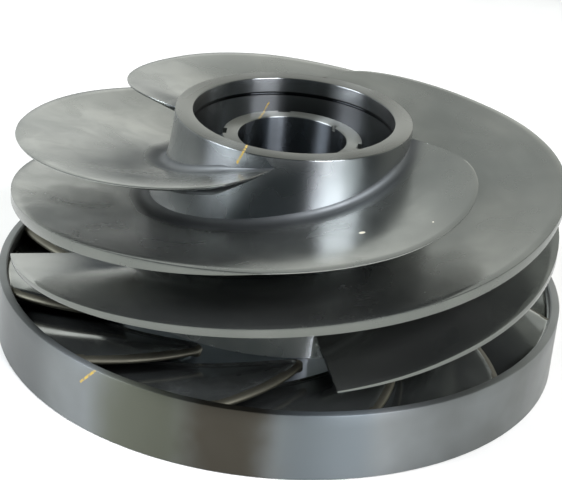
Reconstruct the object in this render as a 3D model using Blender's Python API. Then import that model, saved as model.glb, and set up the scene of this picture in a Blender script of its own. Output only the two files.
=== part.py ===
"""Turbopump inducer: four swept main blades on a flared hub, then a ring of
shrouded kicker vanes.  Metres, +Z is the spin axis, the shroud ring stands on
the floor at z = 0 and the camera of the photograph looks from -Y."""
import math

import bpy
import bmesh
import numpy as np

for old in list(bpy.data.objects):
    bpy.data.objects.remove(old, do_unlink=True)

# Driving sizes
GAP = 0.0003                 # seat between two pieces that touch
ROOT_GAP = 0.0004            # seat of a vane root on the round kicker hub
RING_R = 0.150               # shroud ring, outside
RING_R_IN = 0.1454
RING_H = 0.0355
RING_CHAMFER = 0.0007
EDGE = 0.0005                # small broken edge on turned faces

RIM_R = 0.0615               # nose rim of the hub
RIM_R_IN = 0.0523
RIM_Z = 0.1245
REGISTER_Z = 0.1165          # foot of the shallow register below the rim
GROOVE_DEPTH = 0.0010        # relief groove under the register
GROOVE_W = 0.0018
POCKET_R = 0.0526
POCKET_FLOOR_Z = 0.064
POCKET_CORNER = 0.0050       # rounding between pocket wall and floor
HUB_BORE_R = 0.0338
HUB_FOOT_Z = 0.0352          # the main hub ends on the kicker hub here

SLEEVE_R = 0.0335            # tube through the hub
BORE_R = 0.0282
SLEEVE_FOOT_Z = 0.0035

COLLAR_R = 0.0364            # slotted collar that ends the tube at the nose
COLLAR_TOP_Z = 0.1118
COLLAR_FOOT_Z = 0.0840
COLLAR_SLOTS = (99.0, 180.0, 279.0, 351.0)
COLLAR_SLOT_W = 0.0068
COLLAR_SLOT_DEPTH = 0.0022
COLLAR_SLOT_H = 0.0100
PIN_MARKS = (41.0, 244.0)    # two small pin holes on the bore's edge
PIN_R = 0.0016
PIN_DEPTH = 0.0025
PIN_OFFSET = 0.0009          # pin centre outside the bore wall

BLADE_COUNT = 4
BLADE_TIP_R = 0.144
BLADE_START = 7.0            # degrees of wrap where the leading edge leaves the hub
BLADE_END = 257.5            # degrees of wrap at the trailing edge
BLADE_FILLET = 0.004
BLADE_FILLET_SHARE = 0.45    # most of a short span that the fillet takes
BLADE_EDGE = 0.0009          # thickness left on the leading edge
BLADE_WEDGE = 0.026          # distance over which the edge grows to full thickness
BLADE_UPPER_CUT = 0.35       # share of the wedge taken off the upper face
BLADE_RAKE = 0.175           # rise of a blade per unit of radius, near the nose
BLADE_TAPER = 0.030          # growth of thickness per unit of radius toward the hub
BLADE_LEVEL_FROM = 110.0     # wrap where the rake starts to fade out, degrees
BLADE_LEVEL_OVER = 135.0
BLADE_FLAT_TAPER = 0.4       # share of the taper left where the rake is gone
BLADE_ROOT_FADE = 26.0       # degrees over which the root fillets grow
BLADE_EDGE_WRAPS = (7.0, 8.2, 9.5, 11.0, 13.0, 15.5, 18.5, 22.0, 26.0, 30.5, 35.5, 41.0,
                    47.0, 53.0, 59.5, 66.0, 73.0, 80.0, 87.0, 94.0)
BLADE_STEPS = 27             # rows from the full radius on to the trailing edge
BLADE_FILLET_ROWS = (0.0, 0.10, 0.28, 0.58, 1.0)
BLADE_SPAN_ROWS = (0.22, 0.45, 0.66, 0.82, 0.93, 1.0)

VANE_COUNT = 12
VANE_FIRST = 20.0            # where the first leading edge meets the shroud ring
VANE_WRAP = 46.0             # degrees from that point to the trailing edge
VANE_SWEEP = 19.0            # the leading edge is this much further round at the hub
VANE_TOP_Z = 0.0332
VANE_FOOT_Z = 0.0035
VANE_T = 0.0040
VANE_NOSE = 0.0045           # length of the rounded nose
VANE_FILLET = 0.0018
VANE_DIVE_HUB = 1.4          # power of the wrap share that a vane drops by, at the hub
VANE_DIVE_RING = 2.2         # the same at the ring, where a vane turns down later
VANE_THIN_FROM = 0.6         # share of the wrap where the vane starts to thin
VANE_THIN = 0.45
VANE_EDGE_SHARE = 0.12       # share of the thickness left on the nose
VANE_NOSE_ROWS = (0.0, 0.11, 0.4, 1.0)
VANE_WRAP_ROWS = (0.13, 0.23, 0.34, 0.45, 0.56, 0.67, 0.78, 0.89, 1.0)
VANE_SPAN_ROWS = (0.0, 0.03, 0.08, 0.50, 0.92, 0.97, 1.0)

HUB_TURN_STEPS = 84
BORE_TURN_STEPS = 72
RING_TURN_STEPS = 108
HUB_ROWS_Z = (0.1150, 0.1050, 0.0960, 0.0880, 0.0810, 0.0740, 0.0670, 0.0600, 0.0530,
              0.0460, 0.0390)
KICKER_ROWS_Z = (0.0120, 0.0180, 0.0240, 0.0300)

# height against radius of the outer hub wall, main hub then kicker hub
HUB_WALL = ((0.1245, 0.0615), (0.1180, 0.0618), (0.1080, 0.0628), (0.0980, 0.0645),
            (0.0880, 0.0675), (0.0760, 0.0725), (0.0620, 0.0800), (0.0480, 0.0885),
            (0.0352, 0.0975))
KICKER_WALL = ((0.0349, 0.0950), (0.0240, 0.1005), (0.0120, 0.1055), (0.0000, 0.1092))
BACK_PLATE_R = 0.1063
BACK_PLATE_Z = 0.0057

# wrap angle in degrees against radius of the leading edge
LEAD_EDGE = ((7.0, 0.0622), (10.0, 0.0700), (14.0, 0.0810), (20.0, 0.0940),
             (27.0, 0.1035), (35.0, 0.1116), (50.0, 0.1241), (70.0, 0.1375),
             (84.0, 0.1425), (94.0, 0.1440))
# wrap angle against height of the upper blade face at the tip radius
TIP_TOP = ((0.0, 0.1390), (15.0, 0.1325), (30.0, 0.1260), (60.0, 0.1147), (92.0, 0.1055),
           (118.0, 0.0975), (150.0, 0.0865), (180.0, 0.0765), (207.0, 0.0668),
           (232.0, 0.0564), (246.0, 0.0500), (257.5, 0.0452))
# wrap angle against blade thickness at the tip, measured along the axis
TIP_THICK = ((0.0, 0.0050), (92.0, 0.0052), (140.0, 0.0058), (180.0, 0.0050),
             (220.0, 0.0036), (245.0, 0.0022), (257.5, 0.0014))


def smooth_table(table, x):
    """Monotone cubic through a short table of pairs."""
    xs = [p[0] for p in table]
    ys = [p[1] for p in table]
    if xs[0] > xs[-1]:
        xs, ys = xs[::-1], ys[::-1]
    n = len(xs)
    h = [xs[i + 1] - xs[i] for i in range(n - 1)]
    d = [(ys[i + 1] - ys[i]) / h[i] for i in range(n - 1)]
    m = [d[0]] + [0.0] * (n - 2) + [d[-1]]
    for i in range(1, n - 1):
        if d[i - 1] * d[i] > 0.0:
            w1 = 2.0 * h[i] + h[i - 1]
            w2 = h[i] + 2.0 * h[i - 1]
            m[i] = (w1 + w2) / (w1 / d[i - 1] + w2 / d[i])
    x = min(max(x, xs[0]), xs[-1])
    i = min(max(int(np.searchsorted(xs, x)) - 1, 0), n - 2)
    t = (x - xs[i]) / h[i]
    return ((1 + 2 * t) * (1 - t) ** 2 * ys[i] + t * (1 - t) ** 2 * h[i] * m[i]
            + t * t * (3 - 2 * t) * ys[i + 1] + t * t * (t - 1) * h[i] * m[i + 1])


def hub_radius(z):
    return smooth_table(HUB_WALL, z)


def kicker_radius(z):
    return smooth_table(KICKER_WALL, z)


def material(name, colour, rough):
    mat = bpy.data.materials.new(name)
    mat.use_nodes = True
    bsdf = mat.node_tree.nodes["Principled BSDF"]
    bsdf.inputs["Base Color"].default_value = (*colour, 1.0)
    bsdf.inputs["Metallic"].default_value = 1.0
    bsdf.inputs["Roughness"].default_value = rough
    return mat


def finish(name, verts, faces, colour, rough, sharp=35.0):
    mesh = bpy.data.meshes.new(name)
    mesh.from_pydata(verts, [], faces)
    bm = bmesh.new()
    bm.from_mesh(mesh)
    bmesh.ops.remove_doubles(bm, verts=bm.verts, dist=0.00002)
    bmesh.ops.dissolve_degenerate(bm, edges=bm.edges, dist=0.00001)
    bmesh.ops.recalc_face_normals(bm, faces=bm.faces)
    bm.to_mesh(mesh)
    bm.free()
    obj = bpy.data.objects.new(name, mesh)
    bpy.context.scene.collection.objects.link(obj)
    obj.data.materials.append(material(name, colour, rough))
    mesh.shade_smooth()
    mesh.set_sharp_from_angle(angle=math.radians(sharp))
    return obj


def turned(name, profile, steps, colour, rough, sharp=35.0):
    """Closed (radius, height) loop turned about +Z."""
    verts, faces = [], []
    n = len(profile)
    for i in range(steps):
        a = 2.0 * math.pi * i / steps
        for r, z in profile:
            verts.append((r * math.cos(a), r * math.sin(a), z))
    for i in range(steps):
        j = (i + 1) % steps
        for k in range(n):
            m = (k + 1) % n
            faces.append((i * n + k, j * n + k, j * n + m, i * n + m))
    return finish(name, verts, faces, colour, rough, sharp)


def subtract(obj, cutter):
    mod = obj.modifiers.new("cut_" + cutter.name, "BOOLEAN")
    mod.operation = "DIFFERENCE"
    mod.solver = "EXACT"
    mod.object = cutter
    cutter.hide_render = True
    cutter.display_type = "WIRE"


def apply_cuts(obj):
    graph = bpy.context.evaluated_depsgraph_get()
    mesh = bpy.data.meshes.new_from_object(obj.evaluated_get(graph))
    cutters = [m.object for m in obj.modifiers if m.type == "BOOLEAN"]
    obj.modifiers.clear()
    obj.data = mesh
    for c in cutters:
        bpy.data.objects.remove(c, do_unlink=True)
    obj.data.set_sharp_from_angle(angle=math.radians(35.0))


def box_cutter(name, centre, size, turn):
    bpy.ops.mesh.primitive_cube_add(size=1.0, location=centre, rotation=(0.0, 0.0, turn))
    obj = bpy.context.object
    obj.name = name
    obj.scale = size
    return obj


def rod_cutter(name, centre, radius, depth):
    bpy.ops.mesh.primitive_cylinder_add(vertices=20, radius=radius, depth=depth,
                                        location=centre)
    obj = bpy.context.object
    obj.name = name
    return obj


def skin(rows_top, rows_low):
    """Closed solid between an upper and a lower grid of the same size."""
    nu, nv = len(rows_top), len(rows_top[0])
    verts = [p for row in rows_top for p in row] + [p for row in rows_low for p in row]
    off = nu * nv
    faces = []
    for i in range(nu - 1):
        for j in range(nv - 1):
            a, b = i * nv + j, i * nv + j + 1
            c, d = (i + 1) * nv + j + 1, (i + 1) * nv + j
            faces.append((a, b, c, d))
            faces.append((a + off, d + off, c + off, b + off))
    for i in range(nu - 1):
        a, d = i * nv, (i + 1) * nv
        faces.append((a, d, d + off, a + off))
        a, d = i * nv + nv - 1, (i + 1) * nv + nv - 1
        faces.append((a, a + off, d + off, d))
    for j in range(nv - 1):
        faces.append((j, j + off, j + 1 + off, j + 1))
        k = (nu - 1) * nv + j
        faces.append((k, k + 1, k + 1 + off, k + off))
    return verts, faces


def root_lift(off, fillet):
    """Height of a round root fillet at a distance from the wall it meets."""
    if off >= fillet:
        return 0.0
    return fillet * (1.0 - math.sqrt(1.0 - (1.0 - off / fillet) ** 2))


def blade_heights(wrap, r):
    """Upper and lower face of a main blade at one wrap angle and radius."""
    level = min(max((wrap - BLADE_LEVEL_FROM) / BLADE_LEVEL_OVER, 0.0), 1.0)
    level = level * level * (3.0 - 2.0 * level)
    inward = BLADE_TIP_R - r
    top = smooth_table(TIP_TOP, wrap) - BLADE_RAKE * (1.0 - level) * inward
    thick = smooth_table(TIP_THICK, wrap)
    thick += BLADE_TAPER * inward * (1.0 - (1.0 - BLADE_FLAT_TAPER) * level)
    # distance back from the leading edge, along the arc and along the radius
    edge_wraps = [(e[1], e[0]) for e in LEAD_EDGE]
    arc = r * math.radians(max(wrap - smooth_table(edge_wraps, r), 0.0))
    full_wrap, full_r = LEAD_EDGE[-1]
    if wrap < full_wrap:
        out = max(smooth_table(LEAD_EDGE, wrap) - r, 0.0)
    else:
        out = inward + BLADE_EDGE * (wrap - full_wrap)
    dist = arc * out / max(math.hypot(arc, out), 1e-9)
    t = min(dist / BLADE_WEDGE, 1.0)
    full = BLADE_EDGE + (thick - BLADE_EDGE) * (1.0 - (1.0 - t) ** 2)
    top -= BLADE_UPPER_CUT * (thick - full)
    return top, top - full


def blade_rows(start):
    """Upper and lower grids of a main blade whose wrap is counted from one angle."""
    full_wrap = LEAD_EDGE[-1][0]
    wraps = list(BLADE_EDGE_WRAPS)
    wraps += [full_wrap + (BLADE_END - full_wrap) * (k + 1) / BLADE_STEPS
              for k in range(BLADE_STEPS)]
    top_rows, low_rows = [], []
    for wrap in wraps:
        r_out = smooth_table(LEAD_EDGE, wrap) if wrap < full_wrap else BLADE_TIP_R
        mid_top, mid_low = blade_heights(wrap, RIM_R)
        r_in = hub_radius(0.5 * (mid_top + mid_low)) + GAP
        span = max(r_out - r_in, GAP)
        fillet = min(BLADE_FILLET, BLADE_FILLET_SHARE * span)
        offs = [fillet * q for q in BLADE_FILLET_ROWS]
        offs += [fillet + (span - fillet) * q for q in BLADE_SPAN_ROWS]
        grown = min((wrap - BLADE_START) / BLADE_ROOT_FADE, 1.0) ** 2
        a = math.radians(start - wrap)
        up, dn = [], []
        for off in offs:
            z_up, z_dn = blade_heights(wrap, r_in + off)
            lift = root_lift(off, fillet) * grown
            z_up = min(z_up + lift, RIM_Z - 2.0 * EDGE)
            z_dn -= lift
            blend = 1.0 - off / span
            r_up = r_in + off + (hub_radius(z_up) + GAP - r_in) * blend
            r_dn = r_in + off + (hub_radius(z_dn) + GAP - r_in) * blend
            up.append((r_up * math.cos(a), r_up * math.sin(a), z_up))
            dn.append((r_dn * math.cos(a), r_dn * math.sin(a), z_dn))
        top_rows.append(up)
        low_rows.append(dn)
    return top_rows, low_rows


def vane_rows(start):
    """Kicker vane from hub wall to shroud ring, steeper toward its trailing edge."""
    chord = RING_R_IN * math.radians(VANE_WRAP)
    parts = [VANE_NOSE / chord * q for q in VANE_NOSE_ROWS] + list(VANE_WRAP_ROWS)
    high = VANE_TOP_Z - 0.5 * VANE_T
    drop = VANE_TOP_Z - VANE_FOOT_Z - VANE_T
    r_out = RING_R_IN - GAP
    top_rows, low_rows = [], []
    for t in parts:
        nose = min(t * chord / VANE_NOSE, 1.0)
        thick = VANE_T * max(math.sqrt(1.0 - (1.0 - nose) ** 2), VANE_EDGE_SHARE)
        thick *= 1.0 - VANE_THIN * max(t - VANE_THIN_FROM, 0.0) / (1.0 - VANE_THIN_FROM)
        r_in = kicker_radius(high - drop * t ** VANE_DIVE_HUB) + ROOT_GAP
        up, dn = [], []
        for q in VANE_SPAN_ROWS:
            middle = high - drop * t ** (VANE_DIVE_HUB + (VANE_DIVE_RING - VANE_DIVE_HUB) * q)
            r = r_in + (r_out - r_in) * q
            lift = root_lift(min(r - r_in, r_out - r), VANE_FILLET)
            a = math.radians(start + VANE_SWEEP * (1.0 - q) * (1.0 - t) - VANE_WRAP * t)
            z_up = min(middle + 0.5 * thick + lift, HUB_FOOT_Z - 2.0 * GAP)
            z_dn = max(middle - 0.5 * thick - lift, 2.0 * EDGE)
            r_up = r + (kicker_radius(z_up) + ROOT_GAP - r_in) * (1.0 - q)
            r_dn = r + (kicker_radius(z_dn) + ROOT_GAP - r_in) * (1.0 - q)
            up.append((r_up * math.cos(a), r_up * math.sin(a), z_up))
            dn.append((r_dn * math.cos(a), r_dn * math.sin(a), z_dn))
        top_rows.append(up)
        low_rows.append(dn)
    return top_rows, low_rows


# Main hub, hollow at the nose, with the bore for the tube through its floor
hub_loop = [(RIM_R_IN + EDGE, RIM_Z), (RIM_R - EDGE, RIM_Z)]
hub_loop += [(hub_radius(z), z) for z in (RIM_Z - EDGE, *HUB_ROWS_Z, HUB_FOOT_Z)]
hub_loop += [(HUB_BORE_R, HUB_FOOT_Z), (HUB_BORE_R, POCKET_FLOOR_Z),
             (POCKET_R - POCKET_CORNER, POCKET_FLOOR_Z),
             (POCKET_R - 0.3 * POCKET_CORNER, POCKET_FLOOR_Z + 0.3 * POCKET_CORNER),
             (POCKET_R, POCKET_FLOOR_Z + POCKET_CORNER), (POCKET_R, REGISTER_Z - GROOVE_W),
             (POCKET_R + GROOVE_DEPTH, REGISTER_Z - GROOVE_W),
             (POCKET_R + GROOVE_DEPTH, REGISTER_Z),
             (RIM_R_IN, REGISTER_Z), (RIM_R_IN, RIM_Z - EDGE)]
turned("hub_body", hub_loop, HUB_TURN_STEPS, (0.42, 0.43, 0.42), 0.34)

kicker_loop = [(HUB_BORE_R, BACK_PLATE_Z + GAP)]
kicker_loop += [(kicker_radius(z), z)
                for z in (BACK_PLATE_Z + GAP, *KICKER_ROWS_Z, HUB_FOOT_Z - GAP)]
kicker_loop += [(HUB_BORE_R, HUB_FOOT_Z - GAP)]
turned("kicker_hub", kicker_loop, HUB_TURN_STEPS, (0.40, 0.41, 0.40), 0.36)

plate_loop = [(HUB_BORE_R, 0.0), (BACK_PLATE_R - 2 * EDGE, 0.0), (BACK_PLATE_R, 2 * EDGE),
              (BACK_PLATE_R, BACK_PLATE_Z), (HUB_BORE_R, BACK_PLATE_Z)]
turned("hub_back_plate", plate_loop, HUB_TURN_STEPS, (0.40, 0.41, 0.40), 0.40)

# Tube in the hub, with the same polished bore as the collar on top of it
sleeve_loop = [(BORE_R, SLEEVE_FOOT_Z + 2 * EDGE), (BORE_R + 2 * EDGE, SLEEVE_FOOT_Z),
               (SLEEVE_R, SLEEVE_FOOT_Z), (SLEEVE_R, COLLAR_FOOT_Z - GAP),
               (BORE_R, COLLAR_FOOT_Z - GAP)]
turned("bore_sleeve", sleeve_loop, BORE_TURN_STEPS, (0.50, 0.51, 0.51), 0.22)

collar_loop = [(BORE_R, COLLAR_FOOT_Z), (COLLAR_R - 2 * EDGE, COLLAR_FOOT_Z),
               (COLLAR_R, COLLAR_FOOT_Z + 2 * EDGE), (COLLAR_R, COLLAR_TOP_Z - EDGE),
               (COLLAR_R - EDGE, COLLAR_TOP_Z), (BORE_R + 2 * EDGE, COLLAR_TOP_Z),
               (BORE_R, COLLAR_TOP_Z - 2 * EDGE)]
collar = turned("slotted_collar", collar_loop, BORE_TURN_STEPS, (0.50, 0.51, 0.50), 0.28)
for k, ang in enumerate(COLLAR_SLOTS):
    a = math.radians(ang)
    subtract(collar, box_cutter("slot_%d" % k,
                                (COLLAR_R * math.cos(a), COLLAR_R * math.sin(a), COLLAR_TOP_Z),
                                (2 * COLLAR_SLOT_DEPTH, COLLAR_SLOT_W, 2 * COLLAR_SLOT_H), a))
for k, ang in enumerate(PIN_MARKS):
    a = math.radians(ang)
    r_mid = BORE_R + PIN_OFFSET
    subtract(collar, rod_cutter("pin_mark_%d" % k,
                                (r_mid * math.cos(a), r_mid * math.sin(a), COLLAR_TOP_Z),
                                PIN_R, 2 * PIN_DEPTH))
apply_cuts(collar)

# Main blades, one quarter turn apart
for k in range(BLADE_COUNT):
    rows = blade_rows(90.0 - 90.0 * k)
    verts, faces = skin(*rows)
    finish("main_blade_" + "abcd"[k], verts, faces, (0.36, 0.37, 0.36), 0.42, 40.0)

# Kicker vanes inside the shroud
for k in range(VANE_COUNT):
    verts, faces = skin(*vane_rows(VANE_FIRST + 360.0 / VANE_COUNT * k))
    finish("kicker_vane_%02d" % (k + 1), verts, faces, (0.38, 0.39, 0.38), 0.38, 40.0)

ring_loop = [(RING_R_IN, RING_CHAMFER), (RING_R_IN + RING_CHAMFER, 0.0),
             (RING_R - RING_CHAMFER, 0.0), (RING_R, RING_CHAMFER),
             (RING_R, RING_H - RING_CHAMFER), (RING_R - RING_CHAMFER, RING_H),
             (RING_R_IN + RING_CHAMFER, RING_H), (RING_R_IN, RING_H - RING_CHAMFER)]
turned("shroud_ring", ring_loop, RING_TURN_STEPS, (0.44, 0.45, 0.45), 0.32)
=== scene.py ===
import math
import bpy
import bmesh
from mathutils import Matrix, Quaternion, Vector


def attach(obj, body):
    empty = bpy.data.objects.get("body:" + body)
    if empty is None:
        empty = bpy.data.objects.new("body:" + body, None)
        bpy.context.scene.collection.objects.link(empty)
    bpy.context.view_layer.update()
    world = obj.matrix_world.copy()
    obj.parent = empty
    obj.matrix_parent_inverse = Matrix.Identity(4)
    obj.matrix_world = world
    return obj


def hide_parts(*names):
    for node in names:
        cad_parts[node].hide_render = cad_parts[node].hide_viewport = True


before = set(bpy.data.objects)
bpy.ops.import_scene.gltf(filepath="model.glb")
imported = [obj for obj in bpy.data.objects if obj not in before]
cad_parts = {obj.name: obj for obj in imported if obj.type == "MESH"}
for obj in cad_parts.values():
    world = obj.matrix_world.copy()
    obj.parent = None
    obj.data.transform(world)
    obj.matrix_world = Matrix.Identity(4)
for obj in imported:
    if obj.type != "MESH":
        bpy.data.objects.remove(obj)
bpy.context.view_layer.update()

# Back plate: the flat disc of nickel alloy that closes the kicker hub underneath.
# It is faced on a lathe, so it carries fine rings round the axis.
MM = 0.001                   # one millimetre in the scene's metres
HUB_BORE_R = 0.0338
PLATE_R = 0.1063
PLATE_H = 0.0057
PLATE_STEP_R = 0.0700
EDGE = 0.0005                # broken edge left on every turned corner
TURN_STEPS = 192
CREASE = 32.0                # an edge bent more than this many degrees stays sharp
GROOVE_TINT = 0.3            # share of the darker tone in turned grooves
GROOVE_DEPTH_MM = 0.001
STROKE_END = 0.0006          # length over which a paint stroke fades at its ends
STROKE_GRAIN_MM = 1.6
STROKE_WORN = 0.25           # share of paint left where it has rubbed off


def srgb(code):
    """Linear colour of an sRGB hex value."""
    parts = [int(code[i:i + 2], 16) / 255.0 for i in (1, 3, 5)]
    return tuple(c / 12.92 if c <= 0.04045 else ((c + 0.055) / 1.055) ** 2.4
                 for c in parts) + (1.0,)


def add(tree, kind, settings=None, links=None):
    """Add one node: settings by property or input, links by input to a node or socket."""
    node = tree.nodes.new(kind)
    for key, value in (settings or {}).items():
        if isinstance(value, str) and value.startswith("#"):
            value = srgb(value)
        if isinstance(key, str) and hasattr(node, key):
            setattr(node, key, value)
        else:
            node.inputs[key].default_value = value
    for key, source in (links or {}).items():
        if hasattr(source, "outputs"):
            source = source.outputs[0]
        tree.links.new(source, node.inputs[key])
    return node


def round_axis(tree):
    """Place, unit direction round the axis, distance along the profile, radius, height."""
    place = add(tree, "ShaderNodeTexCoord").outputs["Object"]
    flat = add(tree, "ShaderNodeVectorMath", {"operation": "MULTIPLY", 1: (1.0, 1.0, 0.0)},
               {0: place})
    radius = add(tree, "ShaderNodeVectorMath", {"operation": "LENGTH"},
                 {0: flat}).outputs["Value"]
    around = add(tree, "ShaderNodeVectorMath", {"operation": "NORMALIZE"}, {0: flat})
    height = add(tree, "ShaderNodeSeparateXYZ", None, {0: place}).outputs["Z"]
    along = add(tree, "ShaderNodeMath", {"operation": "ADD"}, {0: radius, 1: height})
    return place, around, along, radius, height


def tool_marks(tree, around, along, turns, pitch_mm):
    """Noise drawn out round the axis, one feature every pitch_mm across it.

    Real grooves lie 0.1 to 0.3 mm apart.  They are drawn 1 mm apart or more, so they show.
    """
    ring = add(tree, "ShaderNodeVectorMath", {"operation": "SCALE", "Scale": turns},
               {0: around})
    across = add(tree, "ShaderNodeMath", {"operation": "DIVIDE", 1: pitch_mm * MM}, {0: along})
    lift = add(tree, "ShaderNodeCombineXYZ", None, {"Z": across})
    at = add(tree, "ShaderNodeVectorMath", {"operation": "ADD"}, {0: ring, 1: lift})
    return add(tree, "ShaderNodeTexNoise", {"Scale": 1.0, "Detail": 2.0}, {"Vector": at})


def patches(tree, place, size_mm, soft=0.16, detail=2.0, swirl=0.0):
    """Share from 0 to 1 of soft patches, as wiping and handling leave them."""
    noise = add(tree, "ShaderNodeTexNoise",
                {"Scale": 1.0 / (size_mm * MM), "Detail": detail, "Distortion": swirl},
                {"Vector": place})
    return add(tree, "ShaderNodeMapRange",
               {"interpolation_type": "SMOOTHSTEP", "From Min": 0.5 - soft,
                "From Max": 0.5 + soft}, {"Value": noise})


def blank(name):
    """New material whose node tree is still empty."""
    mat = bpy.data.materials.new(name)
    mat.use_nodes = True
    mat.node_tree.nodes.clear()
    return mat, mat.node_tree


def paint_stroke(tree, place, start, end, width_mm):
    """Mask of one brush stroke laid along a straight line between two points."""
    start, end = Vector(start), Vector(end)
    line = (end - start).normalized()
    half = 0.5 * (end - start).length
    away = add(tree, "ShaderNodeVectorMath", {"operation": "SUBTRACT", 1: 0.5 * (start + end)},
               {0: place})
    dot = add(tree, "ShaderNodeVectorMath", {"operation": "DOT_PRODUCT", 1: line}, {0: away})
    reach = add(tree, "ShaderNodeMath", {"operation": "ABSOLUTE"}, {0: dot.outputs["Value"]})
    inside = add(tree, "ShaderNodeMapRange", {"From Min": half, "From Max": half - STROKE_END},
                 {"Value": reach})
    cross = add(tree, "ShaderNodeVectorMath", {"operation": "CROSS_PRODUCT", 1: line}, {0: away})
    off = add(tree, "ShaderNodeVectorMath", {"operation": "LENGTH"}, {0: cross})
    thin = add(tree, "ShaderNodeMapRange",
               {"From Min": 0.6 * width_mm * MM, "From Max": 0.4 * width_mm * MM},
               {"Value": off.outputs["Value"]})
    worn = add(tree, "ShaderNodeMapRange", {"To Min": STROKE_WORN},
               {"Value": patches(tree, place, STROKE_GRAIN_MM)})
    both = add(tree, "ShaderNodeMath", {"operation": "MULTIPLY"}, {0: inside, 1: thin})
    return add(tree, "ShaderNodeMath", {"operation": "MULTIPLY"}, {0: both, 1: worn})


def join_masks(tree, masks):
    """The strongest of several masks."""
    whole = masks[0]
    for mask in masks[1:]:
        whole = add(tree, "ShaderNodeMath", {"operation": "MAXIMUM"}, {0: whole, 1: mask})
    return whole


def spot(tree, place, centre, size_mm):
    """Mask of a small round spot."""
    away = add(tree, "ShaderNodeVectorMath", {"operation": "DISTANCE", 1: centre}, {0: place})
    return add(tree, "ShaderNodeMapRange",
               {"From Min": size_mm * MM, "From Max": 0.6 * size_mm * MM},
               {"Value": away.outputs["Value"]})


def bare_metal(tree, tone, dull, marks, depth_mm, spread=0.0, film=0.0, paint=None,
               pigment="#b9992f"):
    """Shader of bare alloy, with an optional mask of marking paint over it.

    Spread draws the highlights out along the axis, as grooves turned round it do.
    Film is the share of light that a dry film of oxide on the metal scatters.
    """
    bump = add(tree, "ShaderNodeBump", {"Strength": 1.0, "Distance": depth_mm * MM},
               {"Height": marks})
    links = {"Base Color": tone, "Roughness": dull, "Normal": bump}
    settings = {"Metallic": 1.0 - film, "Anisotropic": spread}
    if spread:
        settings["Anisotropic Rotation"] = 0.25
        links["Tangent"] = add(tree, "ShaderNodeTangent",
                               {"direction_type": "RADIAL", "axis": "Z"})
    if paint:
        links["Base Color"] = add(tree, "ShaderNodeMix", {"data_type": "RGBA", 7: pigment},
                                  {0: paint, 6: tone}).outputs[2]
        links["Metallic"] = add(tree, "ShaderNodeMath",
                                {"operation": "SUBTRACT", 0: 1.0 - film}, {1: paint})
    shader = add(tree, "ShaderNodeBsdfPrincipled", settings, links)
    add(tree, "ShaderNodeOutputMaterial", None, {"Surface": shader})


def turned_alloy(name, dark, light, rough, spread, pitch_mm, stain_mm=34.0, strokes=()):
    """Lathe-turned nickel alloy: fine rings round the axis and soft handling stains."""
    mat, tree = blank(name)
    place, around, along = round_axis(tree)[:3]
    marks = tool_marks(tree, around, along, 3.0, pitch_mm)
    stain = patches(tree, place, stain_mm)
    tone = add(tree, "ShaderNodeMix", {"data_type": "RGBA", 6: dark, 7: light},
               {0: stain}).outputs[2]
    ringed = add(tree, "ShaderNodeMapRange",
                 {"From Min": 0.3, "From Max": 0.7, "To Max": GROOVE_TINT}, {"Value": marks})
    tone = add(tree, "ShaderNodeMix", {"data_type": "RGBA", 7: dark},
               {0: ringed, 6: tone}).outputs[2]
    dull = add(tree, "ShaderNodeMapRange", {"To Min": rough + 0.04, "To Max": rough - 0.02},
               {"Value": stain})
    paint = None
    if strokes:
        paint = join_masks(tree, [paint_stroke(tree, place, *stroke) for stroke in strokes])
    bare_metal(tree, tone, dull, marks, GROOVE_DEPTH_MM, spread, 0.0, paint)
    return mat


def turned(profile, steps=TURN_STEPS):
    """Vertices and faces of a closed (radius, height) loop turned about the axis."""
    count = len(profile)
    verts = []
    for i in range(steps):
        a = 2.0 * math.pi * i / steps
        verts += [(r * math.cos(a), r * math.sin(a), z) for r, z in profile]
    faces = [(i * count + k, (i + 1) % steps * count + k,
              (i + 1) % steps * count + (k + 1) % count, i * count + (k + 1) % count)
             for i in range(steps) for k in range(count)]
    return verts, faces


def make_piece(name, verts, faces, mat, node, crease=CREASE):
    """Mesh object with clean outward faces that stands for one node of the model."""
    mesh = bpy.data.meshes.new(name)
    mesh.from_pydata(verts, [], faces)
    work = bmesh.new()
    work.from_mesh(mesh)
    bmesh.ops.remove_doubles(work, verts=work.verts, dist=0.002 * MM)
    bmesh.ops.dissolve_degenerate(work, edges=work.edges, dist=0.001 * MM)
    bmesh.ops.recalc_face_normals(work, faces=work.faces)
    work.to_mesh(mesh)
    work.free()
    mesh.shade_smooth()
    mesh.set_sharp_from_angle(angle=math.radians(crease))
    mesh.materials.append(mat)
    piece = bpy.data.objects.new(name, mesh)
    bpy.context.scene.collection.objects.link(piece)
    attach(piece, "root")
    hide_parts(node)
    return piece


# Faced nickel alloy, never polished: dull, with rings that catch the light
faced_plate = turned_alloy("faced nickel alloy", "#6f706b", "#82837e", 0.42, 0.8, 1.4)
plate_loop = [(HUB_BORE_R, EDGE), (HUB_BORE_R + EDGE, 0.0), (PLATE_STEP_R, 0.0),
              (PLATE_R - 2 * EDGE, 0.0), (PLATE_R - 0.6 * EDGE, 0.6 * EDGE),
              (PLATE_R, 2 * EDGE), (PLATE_R, PLATE_H), (HUB_BORE_R, PLATE_H)]
make_piece("back_plate", *turned(plate_loop), faced_plate, "hub_back_plate")

# Kicker hub: the lower, wider part of the flared hub that carries the kicker vanes.
# It is turned from nickel alloy bar and stays a little smaller than the hub above it.
SEAT = 0.0003                # seam between two seated pieces
HUB_FOOT_Z = 0.0352
KICKER_WALL = ((0.0349, 0.0950), (0.0240, 0.1005), (0.0120, 0.1055), (0.0000, 0.1092))


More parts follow.
